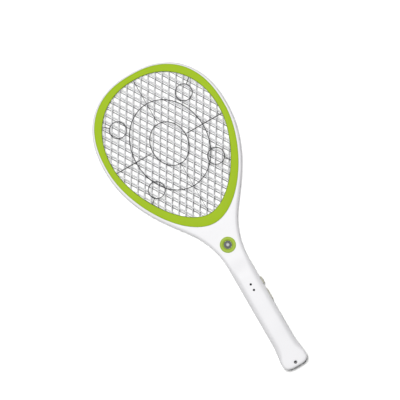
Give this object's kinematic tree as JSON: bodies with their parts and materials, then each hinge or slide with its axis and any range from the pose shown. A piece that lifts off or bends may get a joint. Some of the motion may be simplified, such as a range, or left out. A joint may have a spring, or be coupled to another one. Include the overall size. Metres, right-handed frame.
{
  "type": "electric fly swatter",
  "caption": "Racket-shaped electric insect swatter with a live grid between two guard meshes, a lamp in the neck, side switches and a charging plug that slides out of the handle.",
  "frame": {"origin": "middle of the object's box, on the surface that it lies on", "axes": "+X to its right (the switches' side), +Y from the handle to the head, +Z out of the front face"},
  "size_m": [0.2074, 0.5, 0.03],
  "materials": {
    "white_shell": "satin",
    "lime_trim": "gloss",
    "control_plastic": "satin",
    "guard_mesh": "satin",
    "grid_wire": "satin",
    "spacer_plastic": "matte",
    "lamp_chrome": "polished",
    "lamp_clear": "polished",
    "lamp_emitter": "gloss",
    "indicator_dark": "gloss",
    "board_green": "satin",
    "part_black": "satin",
    "switch_steel": "satin",
    "ferrite": "matte",
    "copper_wire": "satin",
    "film_red": "gloss",
    "film_yellow": "gloss",
    "resistor_tan": "matte",
    "battery_case": "satin",
    "foam": "matte",
    "wire_red": "satin",
    "wire_black": "satin",
    "wire_yellow": "satin",
    "wire_brown": "satin",
    "contact_brass": "satin",
    "blade_nickel": "satin",
    "screw_steel": "satin"
  },
  "bodies": {
    "racket": {"front_shell": "white_shell", "rear_shell": "white_shell", "front_trim_ring": "lime_trim", "rear_trim_ring": "lime_trim", "front_guard_mesh": "guard_mesh", "rear_guard_mesh": "guard_mesh", "high_voltage_grid": "grid_wire", "front_spacer_ring": "spacer_plastic", "rear_spacer_ring": "spacer_plastic", "high_voltage_lead": "wire_red", "guard_lead": "wire_black", "guard_link_wire": "wire_black", "lamp_bezel": "lime_trim", "lamp_lens": "lamp_clear", "lamp_reflector": "lamp_chrome", "lamp_led": "lamp_emitter", "lamp_board": "board_green", "lamp_leads": "wire_yellow", "charge_led": "indicator_dark", "ready_led": "indicator_dark", "lamp_switch_body": "switch_steel", "zap_switch_body": "part_black", "circuit_board": "board_green", "transformer_core": "ferrite", "transformer_winding": "copper_wire", "high_voltage_capacitor": "film_red", "dropper_capacitor": "film_yellow", "drive_transistor": "part_black", "diodes": "part_black", "resistors": "resistor_tan", "battery": "battery_case", "battery_pad": "foam", "battery_leads": "wire_red", "charge_contacts": "contact_brass", "charge_leads": "wire_brown", "rim_screws": "screw_steel", "handle_screws": "screw_steel"},
    "lamp_knob": {"lamp_switch_knob": "control_plastic", "lamp_switch_slider": "part_black"},
    "zap_key": {"zap_button": "control_plastic", "zap_switch_plunger": "part_black"},
    "plug": {"plug_carriage": "part_black", "plug_blades": "blade_nickel", "plug_slider": "control_plastic"}
  },
  "joints": [
    {"name": "lamp_switch_slide", "type": "slide", "parent": "racket", "child": "lamp_knob", "axis": [0, 1, 0], "range_m": [0, 0.004]},
    {"name": "zap_button_press", "type": "slide", "parent": "racket", "child": "zap_key", "axis": [-1, 0, 0], "range_m": [0, 0.0012], "stiffness_N_per_m": 800},
    {"name": "plug_slide", "type": "slide", "parent": "racket", "child": "plug", "axis": [0, -1, 0], "range_m": [0, 0.0175]}
  ]
}
